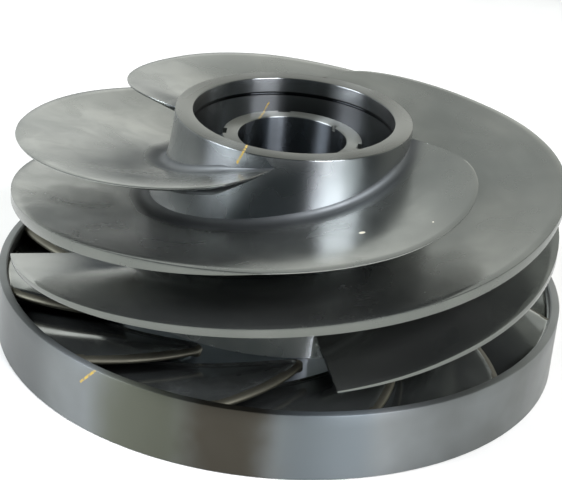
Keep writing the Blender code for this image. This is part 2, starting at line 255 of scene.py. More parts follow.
def smooth_table(table, x):
    """Monotone cubic through a short table of pairs."""
    rows = sorted(table)
    n = len(rows)
    h = [rows[i + 1][0] - rows[i][0] for i in range(n - 1)]
    d = [(rows[i + 1][1] - rows[i][1]) / h[i] for i in range(n - 1)]
    m = [d[0]] + [0.0] * (n - 2) + [d[-1]]
    for i in range(1, n - 1):
        if d[i - 1] * d[i] > 0.0:
            w1, w2 = 2.0 * h[i] + h[i - 1], h[i] + 2.0 * h[i - 1]
            m[i] = (w1 + w2) / (w1 / d[i - 1] + w2 / d[i])
    x = min(max(x, rows[0][0]), rows[-1][0])
    i = max(k for k in range(n - 1) if rows[k][0] <= x)
    t = (x - rows[i][0]) / h[i]
    return ((1 + 2 * t) * (1 - t) ** 2 * rows[i][1] + t * (1 - t) ** 2 * h[i] * m[i]
            + t * t * (3 - 2 * t) * rows[i + 1][1] + t * t * (t - 1) * h[i] * m[i + 1])


def kicker_radius(z):
    """Radius of the kicker hub's wall at a height."""
    return smooth_table(KICKER_WALL, z)


def even(low, high, count):
    """Evenly spaced numbers, both ends included."""
    return [low + (high - low) * k / (count - 1) for k in range(count)]


# Smooth turned alloy, deep in the wheel: dark and close to a mirror
fine_turned = turned_alloy("fine turned nickel alloy", "#6a7072", "#7c8083", 0.30, 0.9, 1.6)
kicker_foot = PLATE_H + SEAT
kicker_loop = [(HUB_BORE_R, kicker_foot)]
kicker_loop += [(kicker_radius(z), z) for z in even(kicker_foot, HUB_FOOT_Z - SEAT, 22)]
kicker_loop += [(HUB_BORE_R, HUB_FOOT_Z - SEAT)]
make_piece("kicker_hub_turned", *turned(kicker_loop), fine_turned, "kicker_hub")

# Shroud ring: a plain band of nickel alloy round the kicker vanes, turned in and out.
# Its outer wall carries broad upright bands, partly handling stains and partly painted reflection
# of the room, and has a bright chamfer.
RING_R = 0.150
RING_R_IN = 0.1454
RING_H = 0.0355
RING_CHAMFER = 0.0007
RING_STEPS = 288
# middle direction in degrees, half width in degrees, and tint of each upright band: partly
# handling stain and partly painted reflection of the room in the wall
RING_STAIN_AND_REFLECTION_BANDS = ((247.0, 13.0, "#55574b"), (263.0, 10.0, "#423d33"), (281.0, 11.0, "#666d70"),
              (212.0, 14.0, "#5d6060"), (30.0, 22.0, "#696c64"), (118.0, 20.0, "#6b6d66"))
RING_BAND_SHARE = 0.9
RING_BAND_WOBBLE = 0.006     # how far the stain pattern shifts the bands' edges
# start, end and width in mm of the stroke of marking paint
RING_STROKE = ((-0.0822, -0.1256, 0.0358), (-0.0903, -0.1197, 0.0250), 1.2)


# Turned alloy that many hands have held: grey, with wide brown and pale upright bands that are
# partly stains and partly painted reflection
def ring_alloy():
    mat, tree = blank("turned ring alloy with stains and painted reflection bands")
    place, around, along = round_axis(tree)[:3]
    marks = tool_marks(tree, around, along, 3.0, 2.0)
    stain = patches(tree, place, 24.0, 0.30)
    tone = add(tree, "ShaderNodeMix", {"data_type": "RGBA", 6: "#6d706f", 7: "#787c7c"},
               {0: stain}).outputs[2]
    # each band mixes stain with a painted dark or pale reflection of the room into the wall's
    # colour
    for middle, half, tint in RING_STAIN_AND_REFLECTION_BANDS:
        a = math.radians(middle)
        dot = add(tree, "ShaderNodeVectorMath",
                  {"operation": "DOT_PRODUCT", 1: (math.cos(a), math.sin(a), 0.0)},
                  {0: around})
        wobble = add(tree, "ShaderNodeMath", {"operation": "MULTIPLY_ADD", 1: RING_BAND_WOBBLE},
                     {0: stain, 2: dot.outputs["Value"]})
        band = add(tree, "ShaderNodeMapRange",
                   {"interpolation_type": "SMOOTHSTEP", "To Max": RING_BAND_SHARE,
                    "From Min": math.cos(math.radians(half)) + 0.5 * RING_BAND_WOBBLE,
                    "From Max": 1.0 + RING_BAND_WOBBLE / 3}, {"Value": wobble})
        tone = add(tree, "ShaderNodeMix", {"data_type": "RGBA", 7: tint},
                   {0: band, 6: tone}).outputs[2]
    dull = add(tree, "ShaderNodeMapRange", {"To Min": 0.40, "To Max": 0.36}, {"Value": stain})
    bare_metal(tree, tone, dull, marks, 0.0005, 0.85, 0.0,
               paint_stroke(tree, place, *RING_STROKE))
    return mat


c = RING_CHAMFER             # short, because the profile is written with it
ring_loop = [(RING_R_IN, c), (RING_R_IN + c, 0.0), (RING_R - c, 0.0), (RING_R, c)]
ring_loop += [(RING_R, z) for z in even(c, RING_H - c, 6)[1:]]
ring_loop += [(RING_R - 0.25 * c, RING_H - 0.35 * c), (RING_R - c, RING_H),
              (RING_R_IN + c, RING_H), (RING_R_IN, RING_H - c)]
ring_loop += [(RING_R_IN, z) for z in even(RING_H - c, c, 6)[1:-1]]
make_piece("shroud_ring_turned", *turned(ring_loop, RING_STEPS), ring_alloy(), "shroud_ring")

# Kicker vanes: twelve short cast vanes between kicker hub and shroud ring, blended by
# hand into both with small fillets.  Each has a blunt, rounded and swept leading edge.
VANE_COUNT = 12
VANE_FIRST = 20.0            # where the first leading edge meets the shroud ring
VANE_WRAP = 46.0             # degrees from that point to the trailing edge
VANE_SWEEP = 19.0            # the leading edge is this much further round at the hub
VANE_TOP_Z = 0.0332
VANE_FOOT_Z = 0.0035
VANE_T = 0.0040
VANE_NOSE_UP = 0.0075        # length of the rounding on the upper face
VANE_NOSE_LOW = 0.0030
VANE_FILLET = 0.0018
VANE_DIVE_HUB = 1.4          # power of the wrap share that a vane drops by, at the hub
VANE_DIVE_RING = 2.2         # the same at the ring, where a vane turns down later
VANE_THIN_FROM = 0.6         # share of the wrap where the vane starts to thin
VANE_THIN = 0.45
VANE_EDGE_SHARE = 0.03       # share of the thickness left on the nose
VANE_DROOP = 0.10            # share of the thickness by which the nose hangs
VANE_NOSE_ROWS = (0.0, 0.02, 0.06, 0.12, 0.2, 0.3, 0.42, 0.56, 0.72, 0.88, 1.0)
VANE_WRAP_STEPS = 34
VANE_SPAN_ROWS = (0.0, 0.005, 0.012, 0.022, 0.034, 0.05, 0.10, 0.20, 0.30, 0.40, 0.5,
                  0.60, 0.70, 0.80, 0.90, 0.95, 0.966, 0.978, 0.988, 0.995, 1.0)
TUCK = 0.0008                # how far a root runs into the wall that carries it


def root_lift(off, fillet):
    """Height of a round root fillet at a distance from its wall."""
    if off >= fillet:
        return 0.0
    return fillet * (1.0 - math.sqrt(1.0 - (1.0 - off / fillet) ** 2))


def round_nose(back, length):
    """Share of the full half thickness at a distance behind a round nose."""
    return math.sqrt(1.0 - (1.0 - min(back / length, 1.0)) ** 2)


def loft(rows):
    """Vertices and faces of a solid drawn through closed loops, with flat ends."""
    size = len(rows[0])
    verts = [p for row in rows for p in row]
    faces = [(i * size + k, i * size + (k + 1) % size,
              (i + 1) * size + (k + 1) % size, (i + 1) * size + k)
             for i in range(len(rows) - 1) for k in range(size)]
    last = (len(rows) - 1) * size
    faces.append(tuple(reversed(range(size))))
    faces.append(tuple(last + k for k in range(size)))
    return verts, faces


def vane_rows(start):
    """Closed loops across a vane, from its nose to its trailing edge."""
    chord = RING_R_IN * math.radians(VANE_WRAP)
    high = VANE_TOP_Z - 0.5 * VANE_T
    drop = VANE_TOP_Z - VANE_FOOT_Z - VANE_T
    parts = [VANE_NOSE_UP * q / chord for q in VANE_NOSE_ROWS]
    parts += even(parts[-1], 1.0, VANE_WRAP_STEPS)[1:]
    rows = []
    for t in parts:
        thinned = max(t - VANE_THIN_FROM, 0.0) / (1.0 - VANE_THIN_FROM)
        half = 0.5 * VANE_T * (1.0 - VANE_THIN * thinned)
        up = half * max(round_nose(t * chord, VANE_NOSE_UP), VANE_EDGE_SHARE)
        low = half * max(round_nose(t * chord, VANE_NOSE_LOW), VANE_EDGE_SHARE)
        droop = VANE_DROOP * VANE_T * (1.0 - round_nose(t * chord, VANE_NOSE_UP))
        r_in = kicker_radius(high - drop * t ** VANE_DIVE_HUB)
        loop_up, loop_low = [], []
        for q in VANE_SPAN_ROWS:
            dive = VANE_DIVE_HUB + (VANE_DIVE_RING - VANE_DIVE_HUB) * q
            middle = high - drop * t ** dive - droop
            r = r_in + (RING_R_IN - r_in) * q
            lift = root_lift(min(r - r_in, RING_R_IN - r), VANE_FILLET)
            a = math.radians(start + VANE_SWEEP * (1.0 - q) * (1.0 - t) - VANE_WRAP * t)
            for side, z in ((loop_up, min(middle + up + lift, HUB_FOOT_Z - 2 * SEAT)),
                            (loop_low, max(middle - low - lift, 2 * EDGE))):
                rr = r + (kicker_radius(z) - r_in) * (1.0 - q)
                if q in (0.0, 1.0):
                    rr += TUCK if q else -TUCK
                side.append((rr * math.cos(a), rr * math.sin(a), z))
        rows.append(loop_up + loop_low[::-1])
    return rows


# Cast and hand-polished alloy, oily in places: smooth enough to mirror the blades over it
def polished_cast_alloy():
    mat, tree = blank("hand-polished cast alloy")
    place, around, along = round_axis(tree)[:3]
    marks = tool_marks(tree, around, along, 4.0, 4.0)
    smear = patches(tree, place, 20.0, 0.25)
    tone = add(tree, "ShaderNodeMix", {"data_type": "RGBA", 6: "#7a7e7b", 7: "#909390"},
               {0: smear}).outputs[2]
    oil = add(tree, "ShaderNodeMath", {"operation": "MULTIPLY", 1: 0.40},
              {0: patches(tree, place, 28.0, 0.20)})
    tone = add(tree, "ShaderNodeMix", {"data_type": "RGBA", 7: "#5c5e58"},
               {0: oil, 6: tone}).outputs[2]
    dull = add(tree, "ShaderNodeMapRange", {"To Min": 0.15, "To Max": 0.11}, {"Value": smear})
    bare_metal(tree, tone, dull, marks, 0.004, 0.0, 0.10)
    return mat


# Noses dressed with an abrasive wheel: dull and a little olive, so they show as soft bands
def dressed_nose_alloy():
    mat, tree = blank("dressed nose of cast alloy")
    place = add(tree, "ShaderNodeTexCoord").outputs["Object"]
    grain = patches(tree, place, 12.0, 0.30)
    tone = add(tree, "ShaderNodeMix", {"data_type": "RGBA", 6: "#56544a", 7: "#615f53"},
               {0: grain}).outputs[2]
    dull = add(tree, "ShaderNodeMapRange", {"To Min": 0.56, "To Max": 0.50}, {"Value": grain})
    bare_metal(tree, tone, dull, grain, 0.0005)
    return mat


polished_vane = polished_cast_alloy()
dressed_nose = dressed_nose_alloy()
NOSE_BAND = 0.0050           # how far the dressing reaches back from the edge
VANE_CREASE = 50.0
for k in range(VANE_COUNT):
    rows = vane_rows(VANE_FIRST + 360.0 / VANE_COUNT * k)
    vane = make_piece("kicker_vane_%02d_polished" % (k + 1), *loft(rows), polished_vane,
                      "kicker_vane_%02d" % (k + 1), VANE_CREASE)
    vane.data.materials.append(dressed_nose)
    for face in vane.data.polygons:
        x, y, z = face.center
        q = (math.hypot(x, y) - kicker_radius(z)) / (RING_R_IN - kicker_radius(z))
        swept = VANE_SWEEP * (1.0 - q)
        back = (VANE_FIRST + 360.0 / VANE_COUNT * k + swept - math.degrees(math.atan2(y, x))
                + 180.0) % 360.0 - 180.0
        if math.radians(back) * RING_R_IN < NOSE_BAND:
            face.material_index = 1

# Main hub: the flared nickel alloy body with a deep open pocket in its nose.
# The walls are turned and polished, and the rim is faced and has one nick, drawn only as a dark
# spot of painted shade.
RIM_R = 0.0615
RIM_R_IN = 0.0523
RIM_Z = 0.1245
REGISTER_Z = 0.1165
GROOVE_DEPTH = 0.0010
GROOVE_W = 0.0018
HUB_STEPS = 224
POCKET_ROUGH = 0.26
WALL_ROUGH = 0.29
HANDLED_SMOOTHER = 0.04      # how much handling takes off either
POCKET_R = 0.0526
POCKET_FLOOR_Z = 0.064
POCKET_CORNER = 0.0050
HUB_WALL = ((0.1245, 0.0615), (0.1180, 0.0618), (0.1080, 0.0628), (0.0980, 0.0645),
            (0.0880, 0.0675), (0.0760, 0.0725), (0.0620, 0.0800), (0.0480, 0.0885),
            (0.0352, 0.0975))


def hub_radius(z):
    """Radius of the hub's outer wall at a height."""
    return smooth_table(HUB_WALL, z)


def corner(r, z, radius, first, last, count=5):
    """Points of a rounded corner about a centre, between two directions in degrees."""
    return [(r + radius * math.cos(math.radians(a)), z + radius * math.sin(math.radians(a)))
            for a in even(first, last, count)]


hub_loop = corner(RIM_R_IN + EDGE, RIM_Z - EDGE, EDGE, 180.0, 90.0)
hub_loop += corner(RIM_R - EDGE, RIM_Z - EDGE, EDGE, 90.0, 0.0)
hub_loop += [(hub_radius(z), z) for z in even(RIM_Z - 2 * EDGE, HUB_FOOT_Z + EDGE, 60)]
hub_loop += [(hub_radius(HUB_FOOT_Z) - 0.3 * EDGE, HUB_FOOT_Z + 0.3 * EDGE),
             (hub_radius(HUB_FOOT_Z) - EDGE, HUB_FOOT_Z), (HUB_BORE_R, HUB_FOOT_Z),
             (HUB_BORE_R, POCKET_FLOOR_Z), (0.0420, POCKET_FLOOR_Z)]
hub_loop += corner(POCKET_R - POCKET_CORNER, POCKET_FLOOR_Z + POCKET_CORNER, POCKET_CORNER,
                   -90.0, 0.0, 8)
hub_loop += [(POCKET_R, z) for z in even(POCKET_FLOOR_Z + POCKET_CORNER,
                                         REGISTER_Z - GROOVE_W, 8)[1:]]
hub_loop += corner(POCKET_R + GROOVE_DEPTH - 0.5 * GROOVE_W, REGISTER_Z - 0.5 * GROOVE_W,
                   0.5 * GROOVE_W, -80.0, 80.0, 7)
hub_loop += [(RIM_R_IN, REGISTER_Z), (RIM_R_IN, 0.5 * (REGISTER_Z + RIM_Z))]
# start, end and width in mm of each stroke of marking paint, place and size of the dark spot
# painted as the shade in the nick
FACE_STROKE = ((-0.0215, -0.0476, 0.1245), (-0.0231, -0.0575, 0.1245), 1.2)
RIM_STROKE = ((-0.0229, -0.0575, 0.1250), (-0.0259, -0.0561, 0.1174), 1.2)
NICK_SHADE = ((0.0151, 0.0590, 0.1245), 1.6)
POCKET_STROKE = ((-0.0142, 0.0507, 0.1108), (-0.0168, 0.0498, 0.1042), 1.0)


# Turned and polished alloy: a dark mirror whose highlights are drawn out upwards.
# The face of the rim is only faced, so it looks pale and even beside the walls.
def hub_alloy():
    mat, tree = blank("turned and polished hub alloy")
    place, around, along, radius, height = round_axis(tree)
    marks = tool_marks(tree, around, along, 3.0, 1.8)
    stain = patches(tree, place, 30.0)
    tone = add(tree, "ShaderNodeMix", {"data_type": "RGBA", 6: "#868a8a", 7: "#979999"},
               {0: stain}).outputs[2]
    outside = add(tree, "ShaderNodeMapRange",
                  {"From Min": RIM_R_IN + 2 * EDGE, "From Max": RIM_R - 2 * EDGE},
                  {"Value": radius})
    face = add(tree, "ShaderNodeMapRange",
               {"From Min": RIM_Z - 0.7 * EDGE, "From Max": RIM_Z - 0.2 * EDGE},
               {"Value": height})
    tone = add(tree, "ShaderNodeMix", {"data_type": "RGBA", 7: "#6c6e6a"},
               {0: face, 6: tone}).outputs[2]
    # the register groove in the pocket is painted near black: painted shade in the recess
    off_groove = add(tree, "ShaderNodeMath",
                     {"operation": "SUBTRACT", 1: REGISTER_Z - 0.5 * GROOVE_W}, {0: height})
    off_groove = add(tree, "ShaderNodeMath", {"operation": "ABSOLUTE"}, {0: off_groove})
    unshaded = add(tree, "ShaderNodeMapRange",
                {"From Min": 0.5 * GROOVE_W, "From Max": 0.7 * GROOVE_W},
                {"Value": off_groove})
    # the nick is painted as a dark spot: painted shade in the notch
    tone = add(tree, "ShaderNodeMix", {"data_type": "RGBA", 7: "#332f29"},
               {0: spot(tree, place, *NICK_SHADE), 6: tone}).outputs[2]
    paint = join_masks(tree, [paint_stroke(tree, place, *stroke)
                              for stroke in (FACE_STROKE, RIM_STROKE, POCKET_STROKE)])
    wall = add(tree, "ShaderNodeMapRange", {"To Min": POCKET_ROUGH, "To Max": WALL_ROUGH},
               {"Value": outside})
    unshaded = add(tree, "ShaderNodeMath", {"operation": "MAXIMUM"}, {0: unshaded, 1: outside})
    tone = add(tree, "ShaderNodeMix", {"data_type": "RGBA", 6: "#1f2122"},
               {0: unshaded, 7: tone}).outputs[2]
    dull = add(tree, "ShaderNodeMath", {"operation": "MULTIPLY_ADD", 1: -HANDLED_SMOOTHER},
               {0: stain, 2: wall})
    bare_metal(tree, tone, dull, marks, 0.0008, 1.0, 0.0, paint)
    return mat


make_piece("main_hub_turned", *turned(hub_loop, HUB_STEPS), hub_alloy(), "hub_body")

# Main blades: four long swept blades milled with the hub from one forging, then
# dressed by hand with wide fillets.  The leading edge is thin and the tip is square.
BLADE_COUNT = 4
BLADE_TIP_R = 0.144
BLADE_START = 7.0            # wrap in degrees where the leading edge leaves the hub
BLADE_END = 257.5
BLADE_FILLET = 0.004
BLADE_FILLET_SHARE = 0.45    # largest share of the span that a fillet takes
BLADE_EDGE = 0.0009          # thickness of the leading edge
BLADE_WEDGE = 0.026          # distance over which a blade reaches its full thickness
BLADE_UPPER_CUT = 0.35       # share of that wedge taken from the upper face
BLADE_RAKE = 0.175           # fall of the upper face towards the hub
BLADE_TAPER = 0.030          # gain in thickness towards the hub
LEVEL_FROM = 110.0           # wrap where rake and taper start to fade
LEVEL_OVER = 135.0
FLAT_TAPER = 0.4             # share of the taper left at the trailing edge
ROOT_FADE = 26.0             # degrees over which the fillets grow from nothing
BLADE_LEAD_STEPS = 56        # closer together near the hub, by the power below
BLADE_LEAD_POWER = 1.45
BLADE_BODY_STEPS = 92
BLADE_FILLET_ROWS = (0.0, 0.02, 0.06, 0.12, 0.20, 0.30, 0.42, 0.56, 0.72, 1.0)
BLADE_SPAN_STEPS = 17
BLADE_CREASE = 40.0
TIP_EDGE = 0.00035           # dressed corner along the tip
# radius of the leading edge, height and thickness of the tip, by wrap in degrees
LEAD_EDGE = ((7.0, 0.0622), (10.0, 0.0700), (14.0, 0.0810), (20.0, 0.0940),
             (27.0, 0.1035), (35.0, 0.1116), (50.0, 0.1241), (70.0, 0.1375),
             (84.0, 0.1425), (94.0, 0.1440))
TIP_TOP = ((0.0, 0.1390), (15.0, 0.1325), (30.0, 0.1260), (60.0, 0.1147), (92.0, 0.1055),
           (118.0, 0.0975), (150.0, 0.0865), (180.0, 0.0765), (207.0, 0.0668),
           (232.0, 0.0564), (246.0, 0.0500), (257.5, 0.0452))
TIP_THICK = ((0.0, 0.0050), (92.0, 0.0052), (140.0, 0.0058), (180.0, 0.0050),
             (220.0, 0.0036), (245.0, 0.0022), (257.5, 0.0014))
EDGE_WRAPS = [(radius, wrap) for wrap, radius in LEAD_EDGE]


def blade_heights(wrap, r):
    """Upper and lower face of a blade at one wrap angle and radius."""
    level = min(max((wrap - LEVEL_FROM) / LEVEL_OVER, 0.0), 1.0)
    level = level * level * (3.0 - 2.0 * level)
    inward = BLADE_TIP_R - r
    top = smooth_table(TIP_TOP, wrap) - BLADE_RAKE * (1.0 - level) * inward
    thick = smooth_table(TIP_THICK, wrap)
    thick += BLADE_TAPER * inward * (1.0 - (1.0 - FLAT_TAPER) * level)
    arc = r * math.radians(max(wrap - smooth_table(EDGE_WRAPS, r), 0.0))
    full_wrap = LEAD_EDGE[-1][0]
    if wrap < full_wrap:
        out = max(smooth_table(LEAD_EDGE, wrap) - r, 0.0)
    else:
        out = inward + BLADE_EDGE * (wrap - full_wrap)
    back = min(arc * out / max(math.hypot(arc, out), 1e-9) / BLADE_WEDGE, 1.0)
    full = BLADE_EDGE + (thick - BLADE_EDGE) * (1.0 - (1.0 - back) ** 2)
    top -= BLADE_UPPER_CUT * (thick - full)
    return top, top - full


def blade_rows():
    """Closed loops across a blade whose wrap is counted from zero degrees."""
    full_wrap = LEAD_EDGE[-1][0]
    wraps = [BLADE_START + (full_wrap - BLADE_START) * q ** BLADE_LEAD_POWER
             for q in even(0.0, 1.0, BLADE_LEAD_STEPS + 1)]
    wraps += even(full_wrap, BLADE_END, BLADE_BODY_STEPS)[1:]
    rows = []
    for wrap in wraps:
        r_out = smooth_table(LEAD_EDGE, wrap) if wrap < full_wrap else BLADE_TIP_R
        mid_top, mid_low = blade_heights(wrap, RIM_R)
        r_in = hub_radius(0.5 * (mid_top + mid_low))
        span = max(r_out - r_in, SEAT)
        fillet = min(BLADE_FILLET, BLADE_FILLET_SHARE * span)
        offs = [fillet * q for q in BLADE_FILLET_ROWS]
        offs += [fillet + (span - fillet) * q for q in even(0.0, 1.0, BLADE_SPAN_STEPS)[1:]]
        a = math.radians(-wrap)
        up, low = [], []
        for off in offs:
            z_up, z_low = blade_heights(wrap, r_in + off)
            grown = min((wrap - BLADE_START) / ROOT_FADE, 1.0)
            lift = root_lift(off, fillet) * grown * grown
            z_up = min(z_up + lift, RIM_Z - 2 * EDGE)
            z_low -= lift
            share = 1.0 - off / span
            up.append((r_in + off + (hub_radius(z_up) - r_in) * share, z_up))
            low.append((r_in + off + (hub_radius(z_low) - r_in) * share, z_low))
        edge = min(TIP_EDGE, 0.3 * (up[-1][1] - low[-1][1]))
        r_tip, z_top, z_bottom = up[-1][0], up[-1][1], low[-1][1]
        up[-1:] = [(r_tip - edge, z_top), (r_tip - 0.3 * edge, z_top - 0.3 * edge),
                   (r_tip, z_top - edge)]
        low[-1:] = [(r_tip - edge, z_bottom), (r_tip - 0.3 * edge, z_bottom + 0.3 * edge),
                    (r_tip, z_bottom + edge)]
        up.insert(0, (up[0][0] - TUCK, up[0][1]))
        low.insert(0, (low[0][0] - TUCK, low[0][1]))
        rows.append([(r * math.cos(a), r * math.sin(a), z) for r, z in up + low[::-1]])
    return rows


# place and size in mm of small marks: a pale chip and a smaller speck
CHIP = ((0.0366, -0.0948, 0.1045), 2.0)
SPECK = ((0.0694, -0.0904, 0.1114), 0.6)
SWEEP_SHARE = 0.18           # how strongly broad strokes of dressing tint the metal
CLOUD_SHARE = 0.40
ROOT_SLOPE = 0.30            # the hub widens by about this much for each unit down
ROOT_NEAR = 0.0985           # radius plus slope times height where the fillets' skin is
ROOT_FAR = 0.1070            # whole, and where it has given way to the dressed face
# share of painted shade that darkens the fillets in the crease between blade and hub
ROOT_SHADE = 0.75
ROOT_ROUGHER = 0.28          # the fillets keep their milled, unpolished skin
# share of painted shade on the square tip faces, dimming their reflection of the floor
TIP_SHADE = 0.8
DEEP_FROM = 0.052            # up to this height the turns are polished
DEEP_TO = 0.078              # and above this one only dressed
DEEP_ROUGH = 0.40            # share of the roughness that they keep


# Milled and hand-dressed alloy: satin, with wiped clouds and the faintest dressing marks
def dressed_alloy():
    mat, tree = blank("milled and hand-dressed alloy")
    place, around, along, radius, height = round_axis(tree)
    marks = tool_marks(tree, around, along, 5.0, 3.5)
    sweep = tool_marks(tree, around, along, 2.0, 18.0)
    cloud = patches(tree, place, 22.0, 0.18, 3.0, 0.6)
    haze = patches(tree, place, 60.0, 0.16)
    tone = add(tree, "ShaderNodeMix", {"data_type": "RGBA", 6: "#7b7e7a", 7: "#8d8f8a"},
               {0: haze}).outputs[2]
    tone = add(tree, "ShaderNodeMix",
               {"data_type": "RGBA", "blend_type": "OVERLAY", 0: SWEEP_SHARE},
               {6: tone, 7: sweep}).outputs[2]
    share = add(tree, "ShaderNodeMath", {"operation": "MULTIPLY", 1: CLOUD_SHARE}, {0: cloud})
    tone = add(tree, "ShaderNodeMix", {"data_type": "RGBA", 7: "#737672"},
               {0: share, 6: tone}).outputs[2]
    # the hub widens downwards, so the distance from its wall follows from both
    off_wall = add(tree, "ShaderNodeMath", {"operation": "MULTIPLY_ADD", 1: ROOT_SLOPE},
                   {0: height, 2: radius})
    rooted = add(tree, "ShaderNodeMapRange",
                 {"interpolation_type": "SMOOTHSTEP", "From Min": ROOT_NEAR, "From Max": ROOT_FAR,
                  "To Min": 1.0, "To Max": 0.0}, {"Value": off_wall})
    # painted shade: the fillets at the root are darkened, which also dims their highlight
    root_shade = add(tree, "ShaderNodeMath", {"operation": "MULTIPLY", 1: ROOT_SHADE}, {0: rooted})
    tone = add(tree, "ShaderNodeMix", {"data_type": "RGBA", 7: "#55585a"},
               {0: root_shade, 6: tone}).outputs[2]
    # painted shade on the tip faces
    tip = add(tree, "ShaderNodeMapRange",
              {"From Min": BLADE_TIP_R - 0.3 * MM, "From Max": BLADE_TIP_R - 0.1 * MM,
               "To Max": TIP_SHADE}, {"Value": radius})
    tone = add(tree, "ShaderNodeMix", {"data_type": "RGBA", 7: "#5f625d"},
               {0: tip, 6: tone}).outputs[2]
    paint = join_masks(tree, [spot(tree, place, *mark) for mark in (CHIP, SPECK)])
    dull = add(tree, "ShaderNodeMapRange", {"To Min": 0.21, "To Max": 0.28}, {"Value": cloud})
    dull = add(tree, "ShaderNodeMath", {"operation": "MULTIPLY_ADD", 1: ROOT_ROUGHER},
               {0: rooted, 2: dull})
    deep = add(tree, "ShaderNodeMapRange",
               {"From Min": DEEP_FROM, "From Max": DEEP_TO, "To Min": DEEP_ROUGH},
               {"Value": height})
    dull = add(tree, "ShaderNodeMath", {"operation": "MULTIPLY"}, {0: dull, 1: deep})
    bare_metal(tree, tone, dull, marks, 0.0015, 0.0, 0.09, paint, "#c9c3ae")
    return mat


blade_alloy = dressed_alloy()
plain_rows = blade_rows()
for k in range(BLADE_COUNT):
    turn = Quaternion((0.0, 0.0, 1.0),
                      math.radians(90.0 - 360.0 / BLADE_COUNT * k)).to_matrix()
    rows = [[tuple(turn @ Vector(p)) for p in row] for row in plain_rows]
    make_piece("main_blade_%s_dressed" % "abcd"[k], *loft(rows), blade_alloy,
               "main_blade_" + "abcd"[k], BLADE_CREASE)

# Sleeve: the thick tube pressed through the hub that locates the pump shaft.
# Its bore is honed after pressing, together with the collar above it.
SLEEVE_R = 0.0335
BORE_R = 0.0282
SLEEVE_FOOT_Z = 0.0035
COLLAR_FOOT_Z = 0.0840
# Honed alloy: dark and smooth, with narrow upright streaks of light
honed = turned_alloy("honed bore alloy", "#686d71", "#74797c", 0.25, 1.0, 1.3, 24.0)
sleeve_loop = [(BORE_R, SLEEVE_FOOT_Z + 2 * EDGE), (BORE_R + 2 * EDGE, SLEEVE_FOOT_Z),
               (SLEEVE_R, SLEEVE_FOOT_Z), (SLEEVE_R, COLLAR_FOOT_Z - SEAT),
               (BORE_R, COLLAR_FOOT_Z - SEAT)]
make_piece("sleeve_honed", *turned(sleeve_loop), honed, "bore_sleeve")

# Slotted collar: ends the sleeve in the pocket, with four slots for a spanner cut in
# its rim and two small pin holes at the edge of the bore.
COLLAR_R = 0.0364
COLLAR_TOP_Z = 0.1118
COLLAR_ROUND = 1.6 * EDGE    # rounding at the mouth of the bore
COLLAR_SLOTS = (99.0, 180.0, 279.0, 351.0)
COLLAR_SLOT = (0.0044, 0.0068, 0.0200)
PIN_HOLES = (41.0, 244.0)
PIN_R = 0.0016
PIN_DEPTH = 0.0025
PIN_OFFSET = 0.0009
collar_loop = [(BORE_R, COLLAR_FOOT_Z), (COLLAR_R - 2 * EDGE, COLLAR_FOOT_Z),
               (COLLAR_R, COLLAR_FOOT_Z + 2 * EDGE)]
collar_loop += corner(COLLAR_R - EDGE, COLLAR_TOP_Z - EDGE, EDGE, 0.0, 90.0)
collar_loop += corner(BORE_R + COLLAR_ROUND, COLLAR_TOP_Z - COLLAR_ROUND, COLLAR_ROUND,
                      90.0, 180.0)
COLLAR_STROKE = ((-0.0160, 0.0322, 0.1118), (-0.0188, 0.0195, 0.1118), 1.0)
# Faced alloy: paler and duller than the honed bore inside it
collar_alloy = turned_alloy("faced collar alloy", "#787a76", "#868884", 0.35, 1.0, 1.2, 24.0,
                            (COLLAR_STROKE,))
collar = make_piece("slotted_collar_honed", *turned(collar_loop), collar_alloy,
                    "slotted_collar")
cutters = []
for ang in COLLAR_SLOTS:
    a = math.radians(ang)
    bpy.ops.mesh.primitive_cube_add(size=1.0, rotation=(0.0, 0.0, a), location=(
        COLLAR_R * math.cos(a), COLLAR_R * math.sin(a), COLLAR_TOP_Z))
    bpy.context.object.scale = COLLAR_SLOT
    cutters.append(bpy.context.object)
for ang in PIN_HOLES:
    a = math.radians(ang)
    r = BORE_R + PIN_OFFSET
    bpy.ops.mesh.primitive_cylinder_add(vertices=32, radius=PIN_R, depth=2 * PIN_DEPTH,
                                        location=(r * math.cos(a), r * math.sin(a), COLLAR_TOP_Z))
    cutters.append(bpy.context.object)
for cutter in cutters:
    cut = collar.modifiers.new("cut", "BOOLEAN")
    cut.operation = "DIFFERENCE"
    cut.solver = "EXACT"
    cut.object = cutter
bpy.context.view_layer.update()
cut_mesh = bpy.data.meshes.new_from_object(
    collar.evaluated_get(bpy.context.evaluated_depsgraph_get()))
collar.modifiers.clear()
collar.data = cut_mesh
cut_mesh.set_sharp_from_angle(angle=math.radians(CREASE))
# the mouth of the bore was honed with the sleeve below it
cut_mesh.materials.append(honed)
for face in cut_mesh.polygons:
    if math.hypot(*face.center[:2]) < BORE_R + 0.2 * EDGE:
        face.material_index = 1
for cutter in cutters:
    bpy.data.objects.remove(cutter, do_unlink=True)

